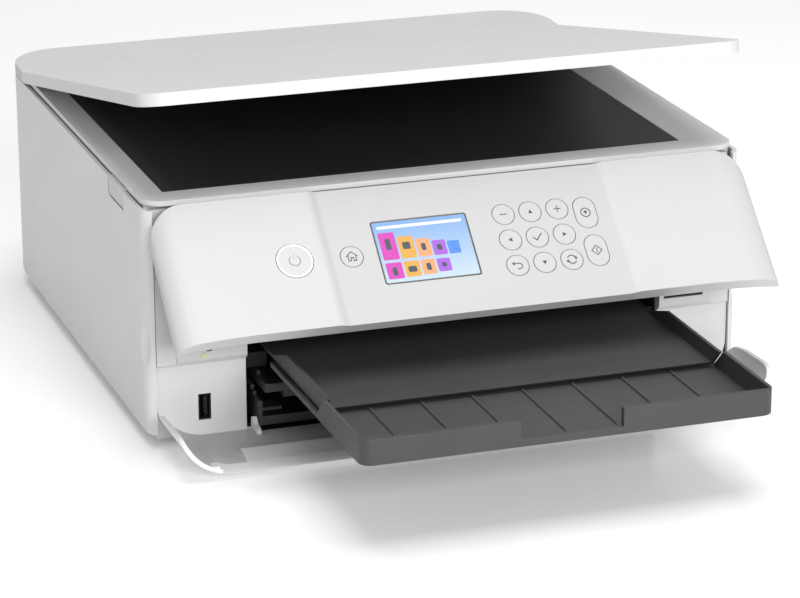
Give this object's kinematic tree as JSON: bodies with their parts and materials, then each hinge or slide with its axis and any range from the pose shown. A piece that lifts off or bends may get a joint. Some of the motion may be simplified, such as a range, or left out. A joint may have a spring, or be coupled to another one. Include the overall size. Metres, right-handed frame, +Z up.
{
  "type": "inkjet printer",
  "caption": "Compact all-in-one inkjet printer with a flatbed scanner, tilting control panel, folding front cover, paper cassettes and a run-out output tray.",
  "frame": {"origin": "on the floor, midway across the width and midway along the whole depth with the tray run out", "axes": "-Y is the front, where the trays come out; +Z is up; +X is to the right of someone facing the front"},
  "size_m": [0.349, 0.508, 0.2004],
  "materials": {
    "casing_white": "fine moulded grain, satin",
    "panel_white": "smooth satin gloss",
    "key_white": "smooth satin gloss with thin grey outlines",
    "pad_white": "soft matt white sheet",
    "bezel_grey": "fine grain, satin",
    "gear_grey": "natural acetal",
    "tray_dark": "fine grain, matt",
    "tray_mid": "fine grain, matt",
    "frame_black": "fine grain, matt",
    "ink_cyan": "satin",
    "ink_magenta": "satin",
    "ink_yellow": "satin",
    "platen_glass": "polished, looks black over the dark scanner bed",
    "screen": "polished cover over a colour screen",
    "status_lamp": "lit lens",
    "steel": "zinc plated",
    "rubber": "matt",
    "circuit_green": "solder mask"
  },
  "bodies": {
    "base": {"base_pan": "frame_black", "case_left": "casing_white", "case_right": "casing_white", "case_rear": "casing_white", "front_fascia": "casing_white", "usb_port": "frame_black", "status_light": "status_lamp", "power_inlet": "frame_black", "foot_front_left": "rubber", "foot_front_right": "rubber", "foot_rear_left": "rubber", "foot_rear_right": "rubber", "carriage_rail": "steel", "carriage_motor": "steel", "power_supply": "frame_black", "main_board": "circuit_green", "maintenance_box": "gear_grey", "platen": "frame_black"},
    "carriage": {"carriage": "frame_black", "cartridge_black": "frame_black", "cartridge_photo_black": "frame_black", "cartridge_cyan": "ink_cyan", "cartridge_magenta": "ink_magenta", "cartridge_yellow": "ink_yellow"},
    "feed_roller": {"feed_roller": "rubber", "feed_gear": "gear_grey"},
    "idler_gear": {"idler_gear": "gear_grey"},
    "exit_roller": {"exit_roller": "rubber", "exit_gear": "gear_grey"},
    "lower_cassette": {"lower_cassette": "tray_dark"},
    "guide_left": {"guide_left": "tray_mid"},
    "guide_right": {"guide_right": "tray_mid"},
    "upper_cassette": {"upper_cassette": "tray_dark"},
    "output_tray": {"output_tray": "tray_dark"},
    "tray_extension": {"tray_extension": "tray_mid"},
    "front_cover": {"front_cover": "casing_white"},
    "panel": {"panel_shell": "panel_white", "panel_back": "tray_mid", "lcd_screen": "screen"},
    "scanner": {"scanner_tub": "bezel_grey", "scanner_bezel": "bezel_grey", "scanner_glass": "platen_glass", "rear_top_cover": "casing_white", "scan_rod": "steel"},
    "scan_head": {"scan_head": "frame_black"},
    "lid": {"lid_shell": "casing_white", "lid_pad": "pad_white"},
    "key_minus": {"key_minus": "key_white"},
    "key_up": {"key_up": "key_white"},
    "key_plus": {"key_plus": "key_white"},
    "key_left": {"key_left": "key_white"},
    "key_ok": {"key_ok": "key_white"},
    "key_right": {"key_right": "key_white"},
    "key_back": {"key_back": "key_white"},
    "key_down": {"key_down": "key_white"},
    "key_rotate": {"key_rotate": "key_white"},
    "key_stop": {"key_stop": "key_white"},
    "key_start": {"key_start": "key_white"},
    "key_home": {"key_home": "key_white"},
    "key_power": {"key_power": "key_white"}
  },
  "joints": [
    {"name": "scanner_hinge", "type": "hinge", "parent": "base", "child": "scanner", "pos_m": [0, 0.253, 0.1374], "axis": [-1, 0, 0], "range_deg": [0, 35]},
    {"name": "lid_hinge", "type": "hinge", "parent": "scanner", "child": "lid", "pos_m": [0, 0.2032, 0.1385], "axis": [-1, 0, 0], "range_deg": [-11.35, 60]},
    {"name": "panel_hinge", "type": "hinge", "parent": "base", "child": "panel", "pos_m": [0, -0.08138, 0.12666], "axis": [-1, 0, 0], "range_deg": [-45, 15]},
    {"name": "cover_hinge", "type": "hinge", "parent": "base", "child": "front_cover", "pos_m": [0, -0.082, 0.009], "axis": [1, 0, 0], "range_deg": [-34, 0]},
    {"name": "output_tray_slide", "type": "slide", "parent": "base", "child": "output_tray", "axis": [0, 1, 0], "range_m": [0, 0.1]},
    {"name": "tray_extension_slide", "type": "slide", "parent": "output_tray", "child": "tray_extension", "axis": [0, 1, 0], "range_m": [0, 0.056]},
    {"name": "lower_cassette_slide", "type": "slide", "parent": "base", "child": "lower_cassette", "axis": [0, -1, 0], "range_m": [0, 0.2]},
    {"name": "upper_cassette_slide", "type": "slide", "parent": "base", "child": "upper_cassette", "axis": [0, -1, 0], "range_m": [0, 0.14]},
    {"name": "guide_left_slide", "type": "slide", "parent": "lower_cassette", "child": "guide_left", "axis": [1, 0, 0], "range_m": [0, 0.055]},
    {"name": "guide_right_slide", "type": "slide", "parent": "lower_cassette", "child": "guide_right", "axis": [-1, 0, 0], "range_m": [0, 0.055]},
    {"name": "carriage_slide", "type": "slide", "parent": "base", "child": "carriage", "axis": [-1, 0, 0], "range_m": [0, 0.228]},
    {"name": "scan_head_slide", "type": "slide", "parent": "scanner", "child": "scan_head", "axis": [1, 0, 0], "range_m": [0, 0.275]},
    {"name": "feed_roller_spin", "type": "hinge", "parent": "base", "child": "feed_roller", "pos_m": [0, 0.092, 0.061], "axis": [1, 0, 0], "continuous": true},
    {"name": "idler_gear_spin", "type": "hinge", "parent": "base", "child": "idler_gear", "pos_m": [0, 0.052, 0.061], "axis": [1, 0, 0], "continuous": true},
    {"name": "exit_roller_spin", "type": "hinge", "parent": "base", "child": "exit_roller", "pos_m": [0, 0.018, 0.061], "axis": [1, 0, 0], "continuous": true},
    {"name": "key_minus_press", "type": "slide", "parent": "panel", "child": "key_minus", "axis": [0, 0.6871, -0.7266], "range_m": [0, 0.0009], "stiffness_N_per_m": 600, "springref_m": -0.0004},
    {"name": "key_up_press", "type": "slide", "parent": "panel", "child": "key_up", "axis": [0, 0.6871, -0.7266], "range_m": [0, 0.0009], "stiffness_N_per_m": 600, "springref_m": -0.0004},
    {"name": "key_plus_press", "type": "slide", "parent": "panel", "child": "key_plus", "axis": [0, 0.6871, -0.7266], "range_m": [0, 0.0009], "stiffness_N_per_m": 600, "springref_m": -0.0004},
    {"name": "key_left_press", "type": "slide", "parent": "panel", "child": "key_left", "axis": [0, 0.6871, -0.7266], "range_m": [0, 0.0009], "stiffness_N_per_m": 600, "springref_m": -0.0004},
    {"name": "key_ok_press", "type": "slide", "parent": "panel", "child": "key_ok", "axis": [0, 0.6871, -0.7266], "range_m": [0, 0.0009], "stiffness_N_per_m": 600, "springref_m": -0.0004},
    {"name": "key_right_press", "type": "slide", "parent": "panel", "child": "key_right", "axis": [0, 0.6871, -0.7266], "range_m": [0, 0.0009], "stiffness_N_per_m": 600, "springref_m": -0.0004},
    {"name": "key_back_press", "type": "slide", "parent": "panel", "child": "key_back", "axis": [0, 0.6871, -0.7266], "range_m": [0, 0.0009], "stiffness_N_per_m": 600, "springref_m": -0.0004},
    {"name": "key_down_press", "type": "slide", "parent": "panel", "child": "key_down", "axis": [0, 0.6871, -0.7266], "range_m": [0, 0.0009], "stiffness_N_per_m": 600, "springref_m": -0.0004},
    {"name": "key_rotate_press", "type": "slide", "parent": "panel", "child": "key_rotate", "axis": [0, 0.6871, -0.7266], "range_m": [0, 0.0009], "stiffness_N_per_m": 600, "springref_m": -0.0004},
    {"name": "key_stop_press", "type": "slide", "parent": "panel", "child": "key_stop", "axis": [0, 0.6871, -0.7266], "range_m": [0, 0.0009], "stiffness_N_per_m": 600, "springref_m": -0.0004},
    {"name": "key_start_press", "type": "slide", "parent": "panel", "child": "key_start", "axis": [0, 0.6871, -0.7266], "range_m": [0, 0.0009], "stiffness_N_per_m": 600, "springref_m": -0.0004},
    {"name": "key_home_press", "type": "slide", "parent": "panel", "child": "key_home", "axis": [0, 0.6871, -0.7266], "range_m": [0, 0.0009], "stiffness_N_per_m": 600, "springref_m": -0.0004},
    {"name": "key_power_press", "type": "slide", "parent": "panel", "child": "key_power", "axis": [0, 0.6871, -0.7266], "range_m": [0, 0.0009], "stiffness_N_per_m": 600, "springref_m": -0.0004}
  ],
  "couplings": [
    {"joint": "guide_right_slide", "follows": "guide_left_slide", "ratio": 1},
    {"joint": "idler_gear_spin", "follows": "feed_roller_spin", "ratio": -0.81818},
    {"joint": "exit_roller_spin", "follows": "feed_roller_spin", "ratio": 1.5}
  ]
}
